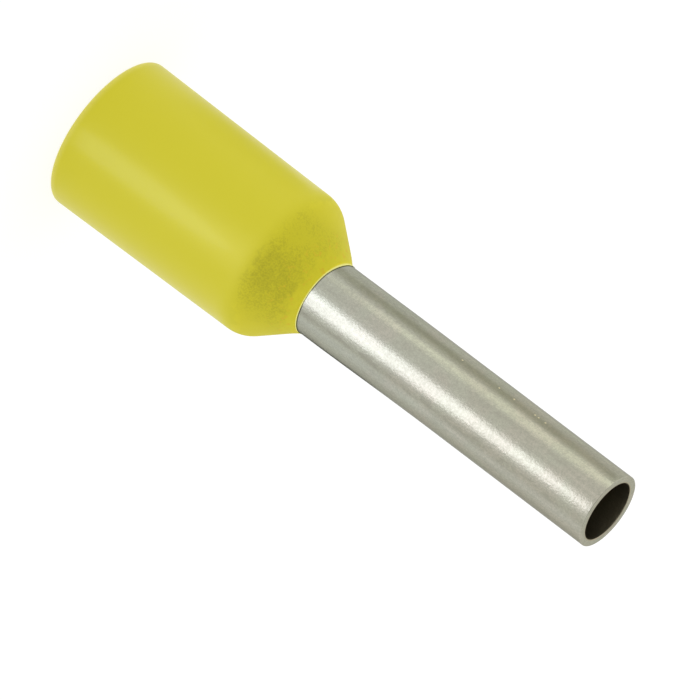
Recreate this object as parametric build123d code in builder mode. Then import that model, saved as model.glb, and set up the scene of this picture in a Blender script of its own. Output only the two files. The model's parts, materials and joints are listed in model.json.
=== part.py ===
# Insulated wire ferrule for a 1 mm2 stranded conductor, with a bare sleeve 8 mm long.
#
# It has two pieces. The sleeve is a length of thin tinned copper tube, and one end is flared
# into a funnel. The collar is a moulded plastic skirt with a wide bore for the wire's
# insulation, a rounded shoulder, and a cone that runs down to a thin lip round the tube.
# The flare sits on a matching cone inside the collar, which keeps the tube from pulling
# through, and the neck beyond that seat grips the tube. The flaring has left the tube a
# little wider there, and it tapers to its own size over a stretch in front of the lip.
#
# Sizes are in millimetres. The origin is the centre of the collar's mouth, and +Z runs along
# the axis from the mouth to the sleeve's tip. The ferrule stands on the rim of its mouth.

import os
from math import radians, tan

from build123d import *

# Sleeve
sleeve_bore_diameter = 1.42
sleeve_wall = 0.17
sleeve_reach = 8.0  # bare length beyond the collar
tip_edge_radius = 0.05

# Where the sleeve widens towards its inner end
taper_rise = 0.014  # on the radius
taper_length = 2.7
taper_from_lip = 0.7
taper_blend_radius = 100.0  # at each end of the taper

# Flare at the sleeve's inner end
flare_half_angle = 35.0
flare_bend_radius = 0.50  # on the sleeve's outer surface
flare_edge_radius = 0.04
flare_side_gap = 0.10  # from the flare's edge to the wall of the collar's bore

# Collar
collar_length = 6.3
collar_bore_diameter = 3.0
mouth_wall = 0.32
shoulder_wall = 0.265  # the outside tapers a little from the mouth to the shoulder
shoulder_radius = 1.0
cone_half_angle = 36.6
neck_grip = 1.0  # from the bend of the flare's seat to the lip
lip_thickness = 0.012
mouth_edge_radius = 0.08
entry_edge_radius = 0.10

seat_clearance = 0.01  # between the sleeve and the collar, all along the seat and the neck

# Radii and heights that follow from these sizes
sleeve_radius = sleeve_bore_diameter / 2 + sleeve_wall
neck_radius = sleeve_radius + taper_rise
taper_start = collar_length + taper_from_lip
taper_end = taper_start + taper_length
tip_height = collar_length + sleeve_reach
bore_radius = collar_bore_diameter / 2
flare_radius = bore_radius - flare_side_gap
mouth_radius = bore_radius + mouth_wall
shoulder_corner_radius = bore_radius + shoulder_wall
seat_radius = neck_radius + seat_clearance
lip_radius = seat_radius + lip_thickness


def cone_height(radius, corner_radius, corner_height, half_angle):
    """Height where a cone that narrows upwards to its corner still has this radius."""
    return corner_height - (radius - corner_radius) / tan(radians(half_angle))


# The flare's cone would meet the tube's side at this height, and the seat follows it outwards
flare_corner = collar_length - neck_grip
flare_start = cone_height(flare_radius, neck_radius, flare_corner, flare_half_angle)
seat_corner = flare_corner + seat_clearance * tan(radians(flare_half_angle / 2))
seat_start = cone_height(bore_radius, seat_radius, seat_corner, flare_half_angle)
shoulder_corner = cone_height(shoulder_corner_radius, lip_radius, collar_length, cone_half_angle)


# Sleeve: its outer surface is one line from the flare to the tip, thickened towards the axis
with BuildPart() as sleeve:
    with BuildSketch(Plane.XZ) as sleeve_section:
        with BuildLine():
            FilletPolyline(
                (flare_radius, flare_start),
                (neck_radius, flare_corner),
                (neck_radius, taper_start),
                (sleeve_radius, taper_end),
                (sleeve_radius, tip_height),
                radius=(flare_bend_radius, taper_blend_radius, taper_blend_radius),
            )
            offset(amount=sleeve_wall, side=Side.LEFT, closed=True)
        make_face()
        flare_end_corners = sleeve_section.vertices().sort_by(Axis.Y)[:2]
        fillet(flare_end_corners, radius=flare_edge_radius)
        tip_corners = sleeve_section.vertices().sort_by(Axis.Y)[-2:]
        fillet(tip_corners, radius=tip_edge_radius)
    revolve(axis=Axis.Z)
sleeve.part.label = "sleeve"


# Collar: a solid of revolution, with the bore and the flare's seat cut out of it
with BuildPart() as collar:
    with BuildSketch(Plane.XZ):
        with BuildLine():
            outside = FilletPolyline(
                (bore_radius, 0),
                (mouth_radius, 0),
                (shoulder_corner_radius, shoulder_corner),
                (lip_radius, collar_length),
                radius=(mouth_edge_radius, shoulder_radius),
            )
            Polyline(outside @ 1, (0, collar_length), (0, 0), outside @ 0)
        make_face()
    revolve(axis=Axis.Z)

    with BuildSketch(Plane.XZ):
        with BuildLine():
            inside = FilletPolyline(
                (bore_radius, 0),
                (bore_radius, seat_start),
                (seat_radius, seat_corner),
                (seat_radius, collar_length),
                radius=(0, flare_bend_radius - seat_clearance),
            )
            Polyline(inside @ 1, (0, collar_length), (0, 0), inside @ 0)
        make_face()
    revolve(axis=Axis.Z, mode=Mode.SUBTRACT)

    entry_edge = collar.edges().group_by(Axis.Z)[0].sort_by(SortBy.RADIUS)[0]
    fillet(entry_edge, radius=entry_edge_radius)
collar.part.label = "collar"


os.makedirs("parts", exist_ok=True)
for piece in (sleeve.part, collar.part):
    export_step(piece, f"parts/{piece.label}.step")
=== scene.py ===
# The looks of the wire ferrule: a fine mesh and a material for each of its two pieces, and a
# plain pale studio with the camera at the photograph's viewing angle.
#
# Everything stands in the row's frame, in metres: the origin is the centre of the collar's
# mouth, and +Z runs along the axis to the sleeve's tip. Sizes are written in millimetres.

import json
from math import atan2, cos, exp, pi, radians, sin, sqrt, tan

import bpy
from mathutils import Matrix, Vector


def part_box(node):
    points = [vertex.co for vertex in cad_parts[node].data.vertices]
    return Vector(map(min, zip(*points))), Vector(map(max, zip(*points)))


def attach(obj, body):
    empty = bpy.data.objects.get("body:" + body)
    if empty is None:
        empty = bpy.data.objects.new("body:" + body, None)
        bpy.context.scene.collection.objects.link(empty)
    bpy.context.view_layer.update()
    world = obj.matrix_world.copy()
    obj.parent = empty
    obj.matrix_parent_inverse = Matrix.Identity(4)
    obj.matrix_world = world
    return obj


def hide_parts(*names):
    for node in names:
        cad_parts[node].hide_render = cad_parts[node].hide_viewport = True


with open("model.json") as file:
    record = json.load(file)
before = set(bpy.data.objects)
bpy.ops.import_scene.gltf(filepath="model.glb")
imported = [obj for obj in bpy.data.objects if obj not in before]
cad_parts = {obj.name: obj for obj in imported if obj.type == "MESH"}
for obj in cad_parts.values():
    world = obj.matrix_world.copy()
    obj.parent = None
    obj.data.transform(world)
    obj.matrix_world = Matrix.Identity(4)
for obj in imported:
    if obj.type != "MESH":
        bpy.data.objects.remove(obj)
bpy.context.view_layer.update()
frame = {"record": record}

MM = 0.001

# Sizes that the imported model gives
mounts = {mount["name"]: mount["dims"] for mount in frame["record"]["mounts"]}
BORE_RADIUS = mounts["wire_entry"]["r_mm"]
TUBE_BORE_RADIUS = mounts["conductor_bore"]["r_mm"]
TUBE_RADIUS = mounts["terminal_end"]["r_mm"]
COLLAR_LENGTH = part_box("collar")[1].z / MM
TIP_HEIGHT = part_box("sleeve")[1].z / MM

# Sleeve
TUBE_WALL = TUBE_RADIUS - TUBE_BORE_RADIUS
TIP_EDGE = 0.012
TAPER_RISE = 0.014  # on the radius
TAPER_START = COLLAR_LENGTH + 0.7
TAPER_END = TAPER_START + 2.7
TAPER_BLEND = 100.0
FLARE_ANGLE = radians(35.0)
FLARE_BEND = 0.50
FLARE_EDGE = 0.04
FLARE_CORNER = COLLAR_LENGTH - 1.0
FLARE_RADIUS = BORE_RADIUS - 0.10

# Collar
MOUTH_RADIUS = BORE_RADIUS + 0.32
SHOULDER_CORNER_RADIUS = BORE_RADIUS + 0.265
SHOULDER_CORNER = COLLAR_LENGTH - 1.127
SHOULDER_ROUNDING = 0.75
SEAT_CLEARANCE = 0.01
MOUTH_EDGE = 0.08
ENTRY_EDGE = 0.10

NECK_RADIUS = TUBE_RADIUS + TAPER_RISE
SEAT_RADIUS = NECK_RADIUS + SEAT_CLEARANCE
SEAT_CORNER = FLARE_CORNER + SEAT_CLEARANCE * tan(FLARE_ANGLE / 2)

# The lip ends in a film that the mould has left on the tube, longer on one side
FILM_START = COLLAR_LENGTH - 0.03
FILM_END = COLLAR_LENGTH
FILM_EDGE = 0.022  # height of the band at its end, the same all round
FILM_THICKNESS = 0.006
FILM_GAP = 0.008
FILM_RADIUS = NECK_RADIUS + FILM_GAP
FILM_ROOT_ROUNDING = 0.02
FILM_TONGUE = 0.08
FILM_TONGUE_SIDE = radians(-80)
FILM_TONGUE_POINTEDNESS = 4

# The tube's mesh follows the tongue fully within the first distance from the film's end, and
# not at all past the second
FOLLOWED_REACH = 0.15
FOLLOWED_END = 0.65

# The part isn't quite straight and square. Angles run from the camera's side towards +X.
NECK_BOW = 0.028
TUBE_BOW_REACH = 2.0
CONE_BOW_REACH = 0.15
TIP_SKEW = 0.010

# Pairs of heights between which the looks of the collar change
# A painted highlight along the mouth's edge, full at the mouth and gone at the first height
MOUTH_HIGHLIGHT_HEIGHTS = (0.2, 0.0)
GRAIN_RISES = (4.6, 5.4)
GLOSS_FADES = (4.7, 5.3)
CONE_STARTS = (5.10, 5.30)
FLECKS_START = (5.5, 6.1)
# Between these heights the painted shade on the cone fades out towards the lip
CONE_SHADE_FADES = (5.80, 6.40)
# Painted light on the cone rises between these heights, towards the lip
LIP_PAINTED_LIGHT_RISES = (5.9, 6.2)
# Painted light along the film's thin edge, where light comes through it
FILM_EDGE_LIGHT_HEIGHTS = (FILM_END - FILM_EDGE - 0.006, FILM_END - FILM_EDGE)

# Pairs of heights between which the looks of the tube change
# The painted shadow line above the film's edge fades out between these heights
FILM_SHADOW_FADES = (FILM_END + 0.01, FILM_END + 0.03)
WARMTH_RISES = (6.6, 7.6)
BLUE_FADES = (7.0, 12.0)
DIMPLES_DEEPEN = (8.0, 12.0)

# Places across the part, along X: where the painted shade on the cone is darkest, where the
# painted light on its sides begins, where the painted shadow line along the film breaks
# beneath the tube's highlight, and where a painted dark reflection beside it is smudged on the tin
CONE_SHADE_MIDDLE = 0.30
CONE_SIDES = (1.0, 1.5)
SHADOW_BREAK_UNDER_HIGHLIGHT = 0.25
DARK_REFLECTION_LINE = 0.49

# Specks where the tin has come off, all in one line along the tube
SPECKED_LINE = -0.69
SPECK_HEIGHTS = (9.85, 10.89, 11.31, 11.90, 12.00, 12.19)
SPECK_RADIUS = 0.025

# Fineness of the meshes
AROUND = 256
RUN_STEP = 0.12
ARC_STEPS = 12


# Outlines and turned meshes

def cone_height(radius, corner_radius, corner_height, half_angle):
    """Height where a cone that narrows upwards to its corner still has this radius."""
    return corner_height - (radius - corner_radius) / tan(half_angle)


def rounded(corners, closed):
    """Points of a line through corners (radius, height, rounding), with an arc at each one."""
    arcs = []
    count = len(corners)
    for k, (radius, height, rounding) in enumerate(corners):
        corner = Vector((radius, height))
        if not rounding:
            arcs.append([corner])
            continue
        back = (Vector(corners[k - 1][:2]) - corner).normalized()
        ahead = (Vector(corners[(k + 1) % count][:2]) - corner).normalized()
        half = back.angle(ahead) / 2
        centre = corner + (back + ahead).normalized() * rounding / sin(half)
        first = corner + back * rounding / tan(half) - centre
        last = corner + ahead * rounding / tan(half) - centre
        start = atan2(first.y, first.x)
        sweep = atan2(first.cross(last), first.dot(last))
        angles = [start + sweep * step / ARC_STEPS for step in range(ARC_STEPS + 1)]
        arcs.append([centre + Vector((cos(angle), sin(angle))) * rounding for angle in angles])
    points = []
    for k, arc in enumerate(arcs):
        points += arc
        if k == count - 1 and not closed:
            break
        start, end = arc[-1], arcs[(k + 1) % count][0]
        pieces = max(1, round((end - start).length / RUN_STEP))
        points += [start.lerp(end, step / pieces) for step in range(1, pieces)]
    return points


def inner_side(points, wall):
    """The points of a line moved by the wall's thickness towards the axis, square to the line."""
    moved = []
    for k, point in enumerate(points):
        along = (points[min(k + 1, len(points) - 1)] - points[max(k - 1, 0)]).normalized()
        moved.append(point + Vector((-along.y, along.x)) * wall)
    return moved


def clamped(value):
    """The value, kept between 0 and 1."""
    return min(1, max(0, value))


def film_rise(angle):
    """How far the lip's film reaches up the tube. It has a tongue on one side."""
    facing = max(0, cos(angle - FILM_TONGUE_SIDE))
    return FILM_TONGUE * facing ** FILM_TONGUE_POINTEDNESS


def collar_rise(height, angle):
    """How far a point of the collar moves up: the film does, and the cone below it doesn't."""
    return clamped((height - FILM_START) / (FILM_END - FILM_EDGE - FILM_START)) * film_rise(angle)


def sleeve_rise(height, angle):
    """How far a point of the sleeve moves up.

    The end was cut a little out of square. Near the lip the mesh follows the film's edge, which
    leaves the tube's form as it is and lets true_height mark that edge for the painted shadow line.
    """
    cut = clamped((height - TAPER_END) / (TIP_HEIGHT - TAPER_END)) * TIP_SKEW * (1 - sin(angle))
    remaining = FOLLOWED_END - abs(height - FILM_END)
    followed = clamped(remaining / (FOLLOWED_END - FOLLOWED_REACH))
    return followed * film_rise(angle) - cut


def bow(height):
    """How far the part is bowed towards +X where the tube comes out of the lip."""
    reach = TUBE_BOW_REACH if height > COLLAR_LENGTH else CONE_BOW_REACH
    return NECK_BOW * exp(-((height - COLLAR_LENGTH) / reach) ** 2)


def turned(name, outline, rise):
    """A mesh made by turning a closed outline of (radius, height) about Z, with its faults of form.

    The attribute true_height is a point's height before it moves up, in millimetres.
    """
    vertices = []
    true_heights = []
    faces = []
    count = len(outline)
    for turn in range(AROUND):
        angle = 2 * pi * turn / AROUND
        for radius, height in outline:
            across = radius * sin(angle) + bow(height)
            up = height + rise(height, angle)
            vertices.append(Vector((across, -radius * cos(angle), up)) * MM)
            true_heights.append(height)
        here, there = turn * count, (turn + 1) % AROUND * count
        for k in range(count):
            after = (k + 1) % count
            faces.append((here + k, there + k, there + after, here + after))
    mesh = bpy.data.meshes.new(name)
    mesh.from_pydata(vertices, [], faces)
    mesh.shade_smooth()
    mesh.attributes.new("true_height", "FLOAT", "POINT").data.foreach_set("value", true_heights)
    piece = bpy.data.objects.new(name, mesh)
    bpy.context.scene.collection.objects.link(piece)
    return piece


def sleeve_outline():
    """The tube's outer surface from the flare to the tip, thickened towards the axis."""
    flare_start = cone_height(FLARE_RADIUS, NECK_RADIUS, FLARE_CORNER, FLARE_ANGLE)
    outside = rounded([
        (FLARE_RADIUS, flare_start, 0),
        (NECK_RADIUS, FLARE_CORNER, FLARE_BEND),
        (NECK_RADIUS, TAPER_START, TAPER_BLEND),
        (TUBE_RADIUS, TAPER_END, TAPER_BLEND),
        (TUBE_RADIUS, TIP_HEIGHT, 0),
    ], closed=False)
    inside = inner_side(outside, TUBE_WALL)
    last = len(outside) - 1
    edges = {0: FLARE_EDGE, last: TIP_EDGE}
    corners = [(*point, edges.get(k, 0)) for k, point in enumerate(outside)]
    corners += [(*point, edges.get(k, 0)) for k, point in reversed(list(enumerate(inside)))]
    return rounded(corners, closed=True)


def collar_outline():
    """The collar's section, from the entry of its bore round the outside and back inside."""
    seat_start = cone_height(BORE_RADIUS, SEAT_RADIUS, SEAT_CORNER, FLARE_ANGLE)
    film_outside = FILM_RADIUS + FILM_THICKNESS
    return rounded([
        (BORE_RADIUS, 0, ENTRY_EDGE),
        (MOUTH_RADIUS, 0, MOUTH_EDGE),
        (SHOULDER_CORNER_RADIUS, SHOULDER_CORNER, SHOULDER_ROUNDING),
        (film_outside, FILM_START, FILM_ROOT_ROUNDING),
        (film_outside, FILM_END - FILM_EDGE, 0),
        (film_outside, FILM_END, 0),
        (FILM_RADIUS, FILM_END, 0),
        (FILM_RADIUS, FILM_START, 0),
        (SEAT_RADIUS, SEAT_CORNER, FLARE_BEND - SEAT_CLEARANCE),
        (BORE_RADIUS, seat_start, 0),
    ], closed=True)


# Nodes of the materials

def new_material(name):
    """An empty node material, as (material, tree, output node)."""
    made = bpy.data.materials.new(name)
    made.use_nodes = True
    made.node_tree.nodes.clear()
    return made, made.node_tree, made.node_tree.nodes.new("ShaderNodeOutputMaterial")


def node(tree, kind, inputs, **settings):
    """A new node. Each input is a value, or the output socket of another node."""
    made = tree.nodes.new(kind)
    for key, value in settings.items():
        setattr(made, key, value)
    for socket, value in inputs.items():
        if isinstance(value, bpy.types.NodeSocket):
            tree.links.new(value, made.inputs[socket])
        else:
            made.inputs[socket].default_value = value
    return made


def maths(tree, operation, *values):
    """The result of a Math node."""
    return node(tree, "ShaderNodeMath", dict(enumerate(values)), operation=operation).outputs[0]


def vector_maths(tree, operation, *vectors):
    """A Vector Math node, which has its result in Vector or in Value."""
    return node(tree, "ShaderNodeVectorMath", dict(enumerate(vectors)), operation=operation)


def multiplied(tree, first, second):
    """The product of two values."""
    return maths(tree, "MULTIPLY", first, second)


def added(tree, first, *others):
    """The sum of all the values."""
    total = first
    for other in others:
        total = maths(tree, "ADD", total, other)
    return total


def ramp(tree, value, start, end, low=0.0, high=1.0):
    """A smooth change from low, where the value is at start, to high, where it is at end."""
    return node(tree, "ShaderNodeMapRange", {
        "Value": value, "From Min": start, "From Max": end, "To Min": low, "To Max": high,
    }, interpolation_type="SMOOTHSTEP").outputs["Result"]


def blend(tree, share, first, second):
    """The first colour where the share is 0, and the second where it is 1."""
    # The sockets of this node go by number, because their names repeat
    mixed = node(tree, "ShaderNodeMix", {0: share, 6: first, 7: second}, data_type="RGBA")
    return mixed.outputs[2]


def place(tree, stretch=1.0):
    """The surface's place in millimetres. A stretch over 1 draws a texture out along the axis."""
    here = node(tree, "ShaderNodeTexCoord", {}).outputs["Object"]
    scale = (1 / MM, 1 / MM, 1 / MM / stretch)
    return vector_maths(tree, "MULTIPLY", here, scale).outputs["Vector"]


def true_height(tree):
    """The height of the surface along the axis, in millimetres, before the faults of form."""
    return node(tree, "ShaderNodeAttribute", {}, attribute_name="true_height").outputs["Fac"]


def distance_across(tree, here, x):
    """The distance in millimetres from the plane X = x."""
    across = node(tree, "ShaderNodeSeparateXYZ", {"Vector": here}).outputs["X"]
    return maths(tree, "ABSOLUTE", maths(tree, "SUBTRACT", across, x))


def distance_from_axis(tree, here):
    """The distance in millimetres from the part's axis."""
    flat = vector_maths(tree, "MULTIPLY", here, (1, 1, 0)).outputs["Vector"]
    return vector_maths(tree, "LENGTH", flat).outputs["Value"]


def noise(tree, vector, per_mm, detail=2.0):
    """Noise around 0.5, with this many blotches to the millimetre."""
    return node(tree, "ShaderNodeTexNoise", {
        "Vector": vector, "Scale": per_mm, "Detail": detail}).outputs["Fac"]


def specks(tree, vector, per_mm, size, share):
    """1 in small round specks and 0 elsewhere. The share is how many of the cells hold a speck."""
    cells = node(tree, "ShaderNodeTexVoronoi", {"Vector": vector, "Scale": per_mm})
    near = ramp(tree, cells.outputs["Distance"], size, size / 2)
    lot = node(tree, "ShaderNodeSeparateColor", {"Color": cells.outputs["Color"]}).outputs[0]
    return multiplied(tree, near, maths(tree, "LESS_THAN", lot, share))


# Moulded plastic

def cone_mottle_and_painted_shade(tree, here, ragged, grain):
    """How far the cone is painted darker: painted shade, most in one place across it and less
    towards the lip, mottled, with the real grain over all of it.
    """
    across = distance_across(tree, here, CONE_SHADE_MIDDLE)
    # Painted shade, darkest at one place across the cone
    middle = ramp(tree, across, 0.15, 0.95, 0.62, 0.0)
    blotches = ramp(tree, noise(tree, here, per_mm=1.6), 0.25, 0.75, -0.12, 0.12)
    away_from_lip = ramp(tree, ragged, *CONE_SHADE_FADES, 1.0, 0.0)
    broad = multiplied(tree, away_from_lip, added(tree, middle, blotches))
    coarse = ramp(tree, noise(tree, here, per_mm=6.0, detail=3.0), 0.3, 0.7, -0.15, 0.15)
    fine = ramp(tree, grain, 0.35, 0.65, -0.30, 0.30)
    return added(tree, broad, coarse, fine)


def plastic_colour(tree, here, height, grain):
    """Yellow with painted shade and mottle on the cone, painted light at its sides and near the
    lip, a painted highlight at the mouth's edge, painted light at the lip film's edge, and orange
    flecks.
    """
    yellow = (0.596, 0.542, 0.014, 1.0)
    olive = (0.44, 0.40, 0.010, 1.0)
    bright = (0.645, 0.58, 0.016, 1.0)
    orange = (0.66, 0.48, 0.018, 1.0)
    # Painted highlight at the mouth's edge, and painted light at the lip film's edge
    painted_mouth_highlight = (0.67, 0.62, 0.11, 1.0)
    lit_film_edge = (0.80, 0.78, 0.25, 1.0)
    unevenness = ramp(tree, noise(tree, here, per_mm=4.0, detail=4.0), 0.3, 0.7, -0.08, 0.08)
    ragged = added(tree, height, unevenness)
    cone = ramp(tree, ragged, *CONE_STARTS)
    # Painted shade and mottle turn the cone's yellow towards olive
    mottle_and_painted_dark = multiplied(tree, cone, cone_mottle_and_painted_shade(tree, here, ragged, grain))
    mottled_and_shaded = blend(tree, mottle_and_painted_dark, yellow, olive)
    # Painted light: the cone is made brighter at its sides and near the lip
    sides = multiplied(tree, cone, ramp(tree, distance_across(tree, here, 0.0), *CONE_SIDES))
    painted_light = added(tree, sides, ramp(tree, ragged, *LIP_PAINTED_LIGHT_RISES))
    lit = blend(tree, painted_light, mottled_and_shaded, bright)
    blots = ramp(tree, noise(tree, here, per_mm=9.0, detail=3.0), 0.55, 0.72)
    flecks = multiplied(tree, blots, ramp(tree, height, *FLECKS_START))
    flecked = blend(tree, flecks, lit, orange)
    # Painted highlight along the mouth's edge
    with_mouth = blend(tree, ramp(tree, height, *MOUTH_HIGHLIGHT_HEIGHTS), flecked, painted_mouth_highlight)
    # Painted light along the film's thin edge
    return blend(tree, ramp(tree, height, *FILM_EDGE_LIGHT_HEIGHTS), with_mouth, lit_film_edge)


def moulded_plastic():
    """Satin yellow plastic, smooth on the skirt, and matt and grainy on the cone."""
    made, tree, output = new_material("moulded_plastic")
    here = place(tree)
    height = true_height(tree)
    grain = noise(tree, here, per_mm=26.0, detail=3.0)
    bump = node(tree, "ShaderNodeBump", {
        "Height": grain,
        "Strength": ramp(tree, height, *GRAIN_RISES, 0.15, 1.0),
        "Distance": 0.003 * MM,
    })
    shader = node(tree, "ShaderNodeBsdfPrincipled", {
        "Base Color": plastic_colour(tree, here, height, grain),
        "Roughness": ramp(tree, height, *GLOSS_FADES, 0.38, 0.75),
        "Specular IOR Level": 0.32,
        "Normal": bump.outputs["Normal"],
    })
    tree.links.new(shader.outputs["BSDF"], output.inputs["Surface"])
    return made


# Tinned copper

def tin_mottle_and_dark_reflection(tree, here, lines, grain):
    """How dark the tin is made: mottled, drawn in lines and scored all over, with a painted dark
    reflection smudged along one line beside the highlight.
    """
    fine = ramp(tree, grain, 0.35, 0.65, 0.0, 0.40)
    granules = ramp(tree, noise(tree, here, per_mm=11.0), 0.35, 0.65, 0.0, 0.25)
    cloudy = noise(tree, place(tree, stretch=3.0), per_mm=3.0)
    clouds = ramp(tree, cloudy, 0.35, 0.65, 0.0, 0.22)
    short_lines = specks(tree, place(tree, stretch=8.0), per_mm=3.5, size=0.10, share=0.3)
    scores = multiplied(tree, short_lines, 0.8)
    patches = noise(tree, place(tree, stretch=2.5), per_mm=5.0, detail=3.0)
    # Painted dark reflection beside the tube's highlight, broken into smudges
    in_line = ramp(tree, distance_across(tree, here, DARK_REFLECTION_LINE), 0.02, 0.12, 0.55, 0.0)
    smudged_dark_reflection = multiplied(tree, ramp(tree, patches, 0.48, 0.62), in_line)
    drawn = ramp(tree, lines, 0.3, 0.7, 0.0, 0.28)
    return added(tree, fine, granules, clouds, scores, smudged_dark_reflection, drawn)


def bare_specks(tree, here):
    """1 in the few specks where the tin has come off, and 0 elsewhere."""
    depth = sqrt(TUBE_RADIUS ** 2 - SPECKED_LINE ** 2)
    total = 0
    for speck_height in SPECK_HEIGHTS:
        middle = (SPECKED_LINE, -depth, speck_height)
        away = vector_maths(tree, "DISTANCE", here, middle).outputs["Value"]
        total = added(tree, total, ramp(tree, away, SPECK_RADIUS, SPECK_RADIUS / 2))
    return total


def tin_colour(tree, here, height, mottle_and_painted_dark):
    """Tin that is greenish or pinkish in patches and a little bluer near the collar."""
    greenish = (0.430, 0.433, 0.345, 1.0)
    pinkish = (0.453, 0.430, 0.351, 1.0)
    dull_tin_and_dark_reflection = (0.350, 0.343, 0.275, 1.0)
    bluish = (0.99, 1.005, 1.03, 1.0)
    neutral = (1.0, 1.0, 1.0, 1.0)
    patches = ramp(tree, noise(tree, here, per_mm=1.3), 0.40, 0.60)
    warmth = multiplied(tree, patches, ramp(tree, height, *WARMTH_RISES))
    clean = blend(tree, warmth, greenish, pinkish)
    # Darker where the tin is dull, and where the dark reflection is painted
    tin = blend(tree, mottle_and_painted_dark, clean, dull_tin_and_dark_reflection)
    tinge = blend(tree, ramp(tree, height, *BLUE_FADES), bluish, neutral)
    return vector_maths(tree, "MULTIPLY", tin, tinge).outputs["Vector"]


def tinned_copper():
    """Satin tin plating over a drawn tube, with bare specks, brassy metal in the bore, and a
    painted shadow line along the film's edge.
    """
    made, tree, output = new_material("tinned_copper")
    bare = (0.95, 0.85, 0.58, 1.0)
    brassy = (0.355, 0.32, 0.23, 1.0)
    shadow = (0.08, 0.08, 0.05, 1.0)
    here = place(tree)
    height = true_height(tree)
    lines = noise(tree, place(tree, stretch=30.0), per_mm=11.0, detail=3.0)
    grain = noise(tree, here, per_mm=24.0, detail=3.0)
    tin = tin_colour(tree, here, height, tin_mottle_and_dark_reflection(tree, here, lines, grain))
    speckled = blend(tree, bare_specks(tree, here), tin, bare)
    # Painted shadow line along the film's edge, left out where the tube's highlight meets the film
    shadow_across = ramp(tree, distance_across(tree, here, SHADOW_BREAK_UNDER_HIGHLIGHT), 0.08, 0.26, 0.0, 0.7)
    painted_film_shadow = multiplied(tree, ramp(tree, height, *FILM_SHADOW_FADES, 1.0, 0.0), shadow_across)
    shaded = blend(tree, painted_film_shadow, speckled, shadow)
    from_bore = maths(tree, "SUBTRACT", distance_from_axis(tree, here), TUBE_BORE_RADIUS)
    inside = ramp(tree, from_bore, 0.012, 0.04, 1.0, 0.0)
    dimple_depth = ramp(tree, height, *DIMPLES_DEEPEN, 0.3, 0.8)
    dimples = multiplied(tree, noise(tree, here, per_mm=11.0), dimple_depth)
    relief = added(tree, grain, dimples, multiplied(tree, lines, 0.15))
    bump = node(tree, "ShaderNodeBump", {"Height": relief, "Strength": 1.0, "Distance": 0.004 * MM})
    shader = node(tree, "ShaderNodeBsdfPrincipled", {
        "Base Color": blend(tree, inside, shaded, brassy),
        "Metallic": 1.0,
        "Roughness": ramp(tree, inside, 0, 1, 0.27, 0.30),
        "Specular Tint": (0.5, 0.5, 0.47, 1.0),
        "Normal": bump.outputs["Normal"],
    })
    tree.links.new(shader.outputs["BSDF"], output.inputs["Surface"])
    return made


# The two pieces

def dress(piece, cad_node, material):
    """The piece stands for its CAD node, in the record's material slot."""
    piece.data.materials.append(material)
    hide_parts(cad_node)
    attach(piece, "root")


sleeve_tube = turned("sleeve_tube", sleeve_outline(), sleeve_rise)
dress(sleeve_tube, "sleeve", tinned_copper())
collar_skirt = turned("collar_skirt", collar_outline(), collar_rise)
dress(collar_skirt, "collar", moulded_plastic())


# Studio

FLOOR_HALF = 400.0
STAND_DISTANCE = 11.0
POWER_FOR_RADIANCE = 4  # times the lamp's width and height

CAMERA_DISTANCE = 299.1
CAMERA_ELEVATION = radians(22.2)
CAMERA_AZIMUTH = radians(-0.12)
CAMERA_ROLL = radians(127.24)
CAMERA_TARGET = Vector((0.571, 0, 7.456))
LENS = 730.0

# The world is dimmest in this direction, and at its full level past this angle from it
DIM_AZIMUTH = radians(15.0)
DIM_ELEVATION = radians(75.0)
DIM_REACH = radians(60.0)
DIM_LEVEL = 0.25
FULL_LEVEL = 1.22


def direction(azimuth, elevation):
    """The way to something far off. Azimuth is from the camera's side, towards +X."""
    return Vector((sin(azimuth) * cos(elevation), -cos(azimuth) * cos(elevation), sin(elevation)))


def looked_at(tree):
    """1 for a camera, glossy or transmission ray, and 0 for any other."""
    path = node(tree, "ShaderNodeLightPath", {}).outputs
    direct = maths(tree, "MAXIMUM", path["Is Camera Ray"], path["Is Glossy Ray"])
    return maths(tree, "MAXIMUM", direct, path["Is Transmission Ray"])


def glowing_paper(tree, grey, glow):
    """Paper of this grey that is also lit from within."""
    paper = node(tree, "ShaderNodeBsdfDiffuse", {"Color": (grey, grey, grey, 1.0)})
    light = node(tree, "ShaderNodeEmission", {"Color": (1, 1, 1, 1), "Strength": glow})
    return node(tree, "ShaderNodeAddShader", {0: paper.outputs[0], 1: light.outputs[0]}).outputs[0]


def pale_floor():
    """A floor that looks white, keeps the object's shadow and lights the object from below."""
    mesh = bpy.data.meshes.new("floor")
    half = FLOOR_HALF * MM
    corners = [(-half, -half, 0), (half, -half, 0), (half, half, 0), (-half, half, 0)]
    mesh.from_pydata(corners, [], [(0, 1, 2, 3)])
    floor = bpy.data.objects.new("floor", mesh)
    bpy.context.scene.collection.objects.link(floor)
    made, tree, output = new_material("floor")
    lighting = glowing_paper(tree, grey=0.80, glow=0.45)
    seen = glowing_paper(tree, grey=0.35, glow=0.76)
    mixed = node(tree, "ShaderNodeMixShader", {0: looked_at(tree), 1: lighting, 2: seen})
    tree.links.new(mixed.outputs[0], output.inputs["Surface"])
    floor.data.materials.append(made)


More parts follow.
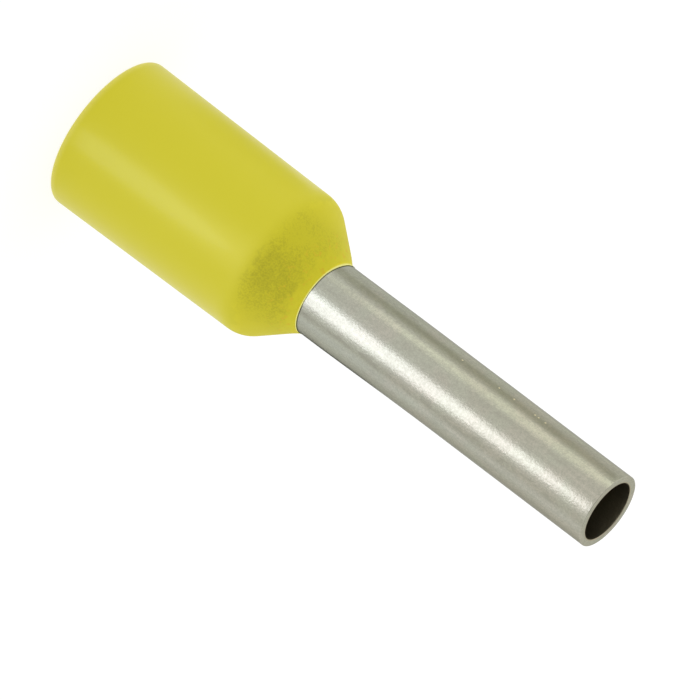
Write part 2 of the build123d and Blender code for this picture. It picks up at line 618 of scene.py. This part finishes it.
def pale_world():
    """A white world that is dimmer overhead, so that the cone stays darker than the skirt."""
    world = bpy.data.worlds.new("studio")
    bpy.context.scene.world = world
    world.use_nodes = True
    tree = world.node_tree
    tree.nodes.clear()
    output = tree.nodes.new("ShaderNodeOutputWorld")
    way = node(tree, "ShaderNodeTexCoord", {}).outputs["Generated"]
    dimmest = direction(DIM_AZIMUTH, DIM_ELEVATION)
    nearness = vector_maths(tree, "DOT_PRODUCT", way, dimmest).outputs["Value"]
    level = node(tree, "ShaderNodeMapRange", {
        "Value": nearness, "From Min": cos(DIM_REACH), "From Max": 1.0,
        "To Min": FULL_LEVEL, "To Max": DIM_LEVEL}).outputs["Result"]
    light = node(tree, "ShaderNodeBackground", {"Color": (1, 1, 1, 1), "Strength": level})
    tree.links.new(light.outputs[0], output.inputs["Surface"])


def upright(azimuth, height, distance=STAND_DISTANCE, lean=0.0, twist=0.0):
    """Where a thing stands that faces the axis. Azimuth is from the camera's side, towards +X.

    A lean tips its top away from the axis, and a twist turns its top towards lower azimuths.
    """
    away = direction(radians(azimuth), 0)
    middle = (away * distance + Vector((0, 0, height))) * MM
    facing = (-away).to_track_quat("-Z", "Y").to_matrix().to_4x4()
    tip = Matrix.Rotation(radians(lean), 4, "X") @ Matrix.Rotation(radians(twist), 4, "Z")
    return Matrix.Translation(middle) @ facing @ tip


def only_mirrored(thing, stand):
    """The thing stands where the matrix says, and shows in glossy surfaces alone."""
    thing.matrix_world = stand
    thing.visible_camera = False
    thing.visible_diffuse = False
    bpy.context.scene.collection.objects.link(thing)


def softbox(name, width, tall, radiance, tint, stand):
    """An oval lamp that shows in gloss alone. The world and the floor light what is matt."""
    lamp = bpy.data.lights.new(name, "AREA")
    lamp.shape = "ELLIPSE"
    lamp.color = tint
    lamp.size = width * MM
    lamp.size_y = tall * MM
    lamp.energy = radiance * POWER_FOR_RADIANCE * lamp.size * lamp.size_y
    only_mirrored(bpy.data.objects.new(name, lamp), stand)


def grey_card(name, width, tall, colour, stand):
    """A card that gives the polished sleeve something darker to mirror."""
    x, y = width / 2 * MM, tall / 2 * MM
    mesh = bpy.data.meshes.new(name)
    mesh.from_pydata([(-x, -y, 0), (x, -y, 0), (x, y, 0), (-x, y, 0)], [], [(0, 1, 2, 3)])
    card = bpy.data.objects.new(name, mesh)
    only_mirrored(card, stand)
    made, tree, output = new_material(name)
    shader = node(tree, "ShaderNodeBsdfDiffuse", {"Color": colour})
    tree.links.new(shader.outputs[0], output.inputs["Surface"])
    card.data.materials.append(made)


def photo_camera():
    """A long lens from the photograph's side, turned about its own axis as the photograph is."""
    camera = bpy.data.objects.new("camera", bpy.data.cameras.new("camera"))
    camera.data.lens = LENS
    camera.data.clip_start = 10 * MM
    camera.data.clip_end = 10.0
    back = direction(CAMERA_AZIMUTH, CAMERA_ELEVATION)
    eye = Matrix.Translation((CAMERA_TARGET + back * CAMERA_DISTANCE) * MM)
    aim = (-back).to_track_quat("-Z", "Y").to_matrix().to_4x4()
    camera.matrix_world = eye @ aim @ Matrix.Rotation(CAMERA_ROLL, 4, "Z")
    bpy.context.scene.collection.objects.link(camera)
    bpy.context.scene.camera = camera


pale_floor()
pale_world()

softbox("key", width=7.3, tall=14.5, radiance=1.27, tint=(0.84, 0.845, 1.0),
        stand=upright(azimuth=25.8, height=4.0, lean=14, twist=3.5))
softbox("low key", width=3.6, tall=3.6, radiance=0.70, tint=(0.78, 0.84, 1.0),
        stand=upright(azimuth=8, height=1.8))
softbox("side", width=5.0, tall=14.0, radiance=0.10, tint=(0.56, 0.75, 1.0),
        stand=upright(azimuth=93, height=6.2))
softbox("sheen", width=0.8, tall=6.0, radiance=2.9, tint=(0.25, 0.34, 1.0),
        stand=upright(azimuth=17.4, height=1.4, distance=2.39))
softbox("fill", width=4.0, tall=15.0, radiance=0.40, tint=(0.97, 1.0, 0.80),
        stand=upright(azimuth=-60, height=9.0, twist=13))
softbox("rim", width=5.0, tall=14.0, radiance=0.23, tint=(0.93, 1.0, 1.0),
        stand=upright(azimuth=-138, height=6.2))

grey_card("card", width=5.9, tall=10.0, colour=(0.66, 0.66, 0.58, 1.0),
          stand=upright(azimuth=-92, height=6.2, twist=5))
grey_card("low card", width=3.4, tall=3.6, colour=(0.55, 0.55, 0.47, 1.0),
          stand=upright(azimuth=-100, height=1.9, distance=4.5))
grey_card("neck card", width=4.0, tall=2.4, colour=(0.05, 0.05, 0.05, 1.0),
          stand=upright(azimuth=158, height=2.9))
grey_card("flag", width=1.2, tall=12.0, colour=(0.65, 0.65, 0.60, 1.0),
          stand=upright(azimuth=67, height=6.2, twist=5))

photo_camera()
bpy.context.scene.view_settings.view_transform = "Standard"
